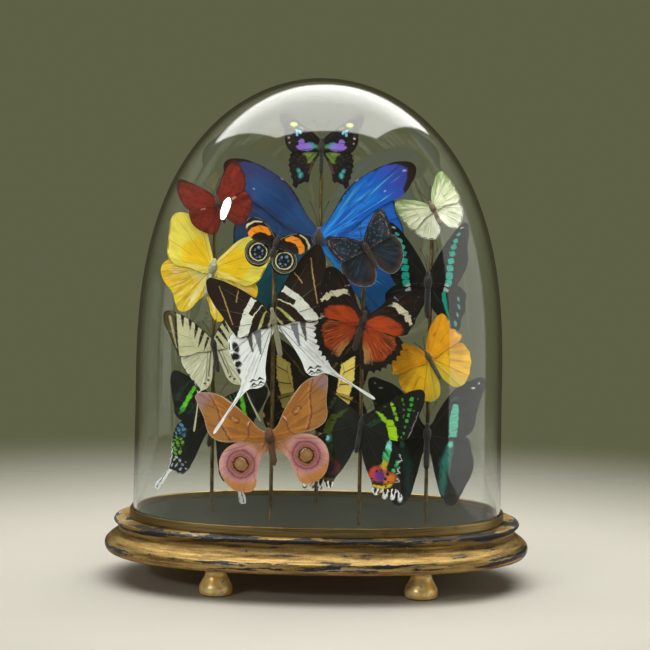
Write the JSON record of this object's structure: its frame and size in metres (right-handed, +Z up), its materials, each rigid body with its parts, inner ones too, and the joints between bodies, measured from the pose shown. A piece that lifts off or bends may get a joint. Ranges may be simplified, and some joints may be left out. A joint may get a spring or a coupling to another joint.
{
  "type": "insect display in oval glass dome",
  "caption": "Mounted butterflies and moths with spread wings, pinned on thin brass rods under an oval glass dome on a gilded wooden plinth with bun feet.",
  "frame": {"origin": "centre of the bounding box at the level of the feet's undersides", "axes": "+Z up, +X to the right along the oval's long way, the front that the insects face is -Y"},
  "size_m": [0.3434, 0.189, 0.4057],
  "materials": {
    "gilded_wood": "distressed gold leaf over dark bole and gesso",
    "gilded_foot": "bright gold leaf",
    "brass": "aged, brushed",
    "rod_brass": "aged, dark",
    "floor_board": "dark grey-green paint, slight gloss",
    "dome_glass": "clear",
    "wings_purple_spotted_swallowtail": "dry scaled wings, matt with a soft sheen",
    "wings_blue_morpho": "dry scaled wings, matt with a soft sheen",
    "wings_red_glider": "dry scaled wings, matt with a soft sheen",
    "wings_golden_birdwing_moth": "dry scaled wings, matt with a soft sheen",
    "wings_eighty_eight": "dry scaled wings, matt with a soft sheen",
    "wings_navy_brushfoot": "dry scaled wings, matt with a soft sheen",
    "wings_pale_green_white": "dry scaled wings, matt with a soft sheen",
    "wings_turquoise_band_upper": "dry scaled wings, matt with a soft sheen",
    "wings_giant_swordtail": "dry scaled wings, matt with a soft sheen",
    "wings_orange_lacewing": "dry scaled wings, matt with a soft sheen",
    "wings_golden_orange": "dry scaled wings, matt with a soft sheen",
    "wings_kite_swallowtail": "dry scaled wings, matt with a soft sheen",
    "wings_green_striped_dayflier": "dry scaled wings, matt with a soft sheen",
    "wings_emperor_moth": "dry scaled wings, matt with a soft sheen",
    "wings_rainbow_dayflier": "dry scaled wings, matt with a soft sheen",
    "wings_yellow_banded_swallowtail": "dry scaled wings, matt with a soft sheen",
    "wings_turquoise_band_lower": "dry scaled wings, matt with a soft sheen"
  },
  "bodies": {
    "root": {"foot_front_left": "gilded_foot", "foot_back_left": "gilded_foot", "foot_front_right": "gilded_foot", "foot_back_right": "gilded_foot", "plinth": "gilded_wood", "brass_ring": "brass", "floor_panel": "floor_board", "glass_dome": "dome_glass", "rod_far_left": "rod_brass", "rod_left": "rod_brass", "rod_middle": "rod_brass", "rod_right": "rod_brass", "rod_far_right": "rod_brass", "purple_spotted_swallowtail": "wings_purple_spotted_swallowtail", "blue_morpho": "wings_blue_morpho", "red_glider": "wings_red_glider", "golden_birdwing_moth": "wings_golden_birdwing_moth", "eighty_eight": "wings_eighty_eight", "navy_brushfoot": "wings_navy_brushfoot", "pale_green_white": "wings_pale_green_white", "turquoise_band_upper": "wings_turquoise_band_upper", "giant_swordtail": "wings_giant_swordtail", "orange_lacewing": "wings_orange_lacewing", "golden_orange": "wings_golden_orange", "kite_swallowtail": "wings_kite_swallowtail", "green_striped_dayflier": "wings_green_striped_dayflier", "emperor_moth": "wings_emperor_moth", "rainbow_dayflier": "wings_rainbow_dayflier", "yellow_banded_swallowtail": "wings_yellow_banded_swallowtail", "turquoise_band_lower": "wings_turquoise_band_lower"}
  },
  "joints": []
}
